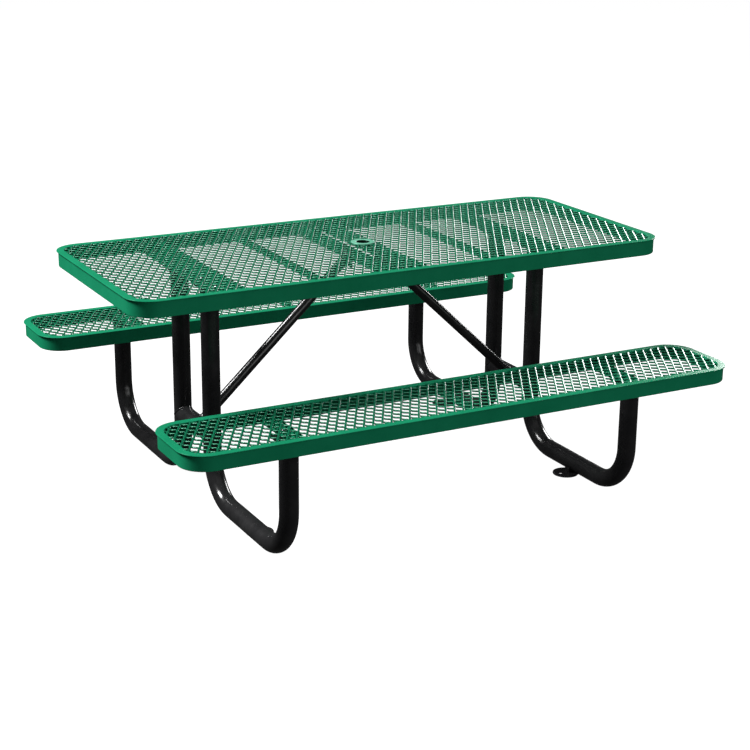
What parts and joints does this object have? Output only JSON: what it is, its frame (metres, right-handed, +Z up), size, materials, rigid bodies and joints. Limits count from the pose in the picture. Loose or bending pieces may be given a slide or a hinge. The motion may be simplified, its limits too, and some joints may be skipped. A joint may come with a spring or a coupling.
{
  "type": "picnic table",
  "caption": "Rectangular outdoor picnic table with expanded-metal top and attached benches on a bent round-tube frame, with an umbrella hole.",
  "frame": {"origin": "on the ground under the middle of the table top", "axes": "+X along the table, +Y across it towards the rear bench, +Z up"},
  "size_m": [1.84, 1.533, 0.7518],
  "materials": {
    "coated_steel": "thick green thermoplastic coating, semi-gloss",
    "coated_mesh": "thick green thermoplastic coating over expanded steel, semi-gloss",
    "frame_tube": "black powder coat, gloss",
    "fastener": "zinc-plated steel"
  },
  "bodies": {
    "root": {"table_rim": "coated_steel", "table_mesh": "coated_mesh", "umbrella_ring": "coated_steel", "table_angle_left": "coated_steel", "table_stiffener_left": "coated_steel", "table_centre_bar_left": "coated_steel", "table_angle_right": "coated_steel", "table_stiffener_right": "coated_steel", "table_centre_bar_right": "coated_steel", "bench_front_rim": "coated_steel", "bench_front_mesh": "coated_mesh", "bench_front_stiffener": "coated_steel", "bench_front_channel_left": "coated_steel", "bench_front_channel_right": "coated_steel", "bench_rear_rim": "coated_steel", "bench_rear_mesh": "coated_mesh", "bench_rear_stiffener": "coated_steel", "bench_rear_channel_left": "coated_steel", "bench_rear_channel_right": "coated_steel", "cross_tube_left": "frame_tube", "brace_left": "frame_tube", "brace_bolt_left_front": "fastener", "brace_bolt_left_rear": "fastener", "leg_front_left": "frame_tube", "foot_front_left": "frame_tube", "table_plate_front_left": "frame_tube", "table_bolt_front_left_inner": "fastener", "table_bolt_front_left_outer": "fastener", "bench_plate_front_left": "frame_tube", "bench_bolt_front_left_inner": "fastener", "bench_bolt_front_left_outer": "fastener", "leg_rear_left": "frame_tube", "foot_rear_left": "frame_tube", "table_plate_rear_left": "frame_tube", "table_bolt_rear_left_inner": "fastener", "table_bolt_rear_left_outer": "fastener", "bench_plate_rear_left": "frame_tube", "bench_bolt_rear_left_inner": "fastener", "bench_bolt_rear_left_outer": "fastener", "cross_tube_right": "frame_tube", "brace_right": "frame_tube", "brace_bolt_right_front": "fastener", "brace_bolt_right_rear": "fastener", "leg_front_right": "frame_tube", "foot_front_right": "frame_tube", "table_plate_front_right": "frame_tube", "table_bolt_front_right_inner": "fastener", "table_bolt_front_right_outer": "fastener", "bench_plate_front_right": "frame_tube", "bench_bolt_front_right_inner": "fastener", "bench_bolt_front_right_outer": "fastener", "leg_rear_right": "frame_tube", "foot_rear_right": "frame_tube", "table_plate_rear_right": "frame_tube", "table_bolt_rear_right_inner": "fastener", "table_bolt_rear_right_outer": "fastener", "bench_plate_rear_right": "frame_tube", "bench_bolt_rear_right_inner": "fastener", "bench_bolt_rear_right_outer": "fastener"}
  },
  "joints": []
}
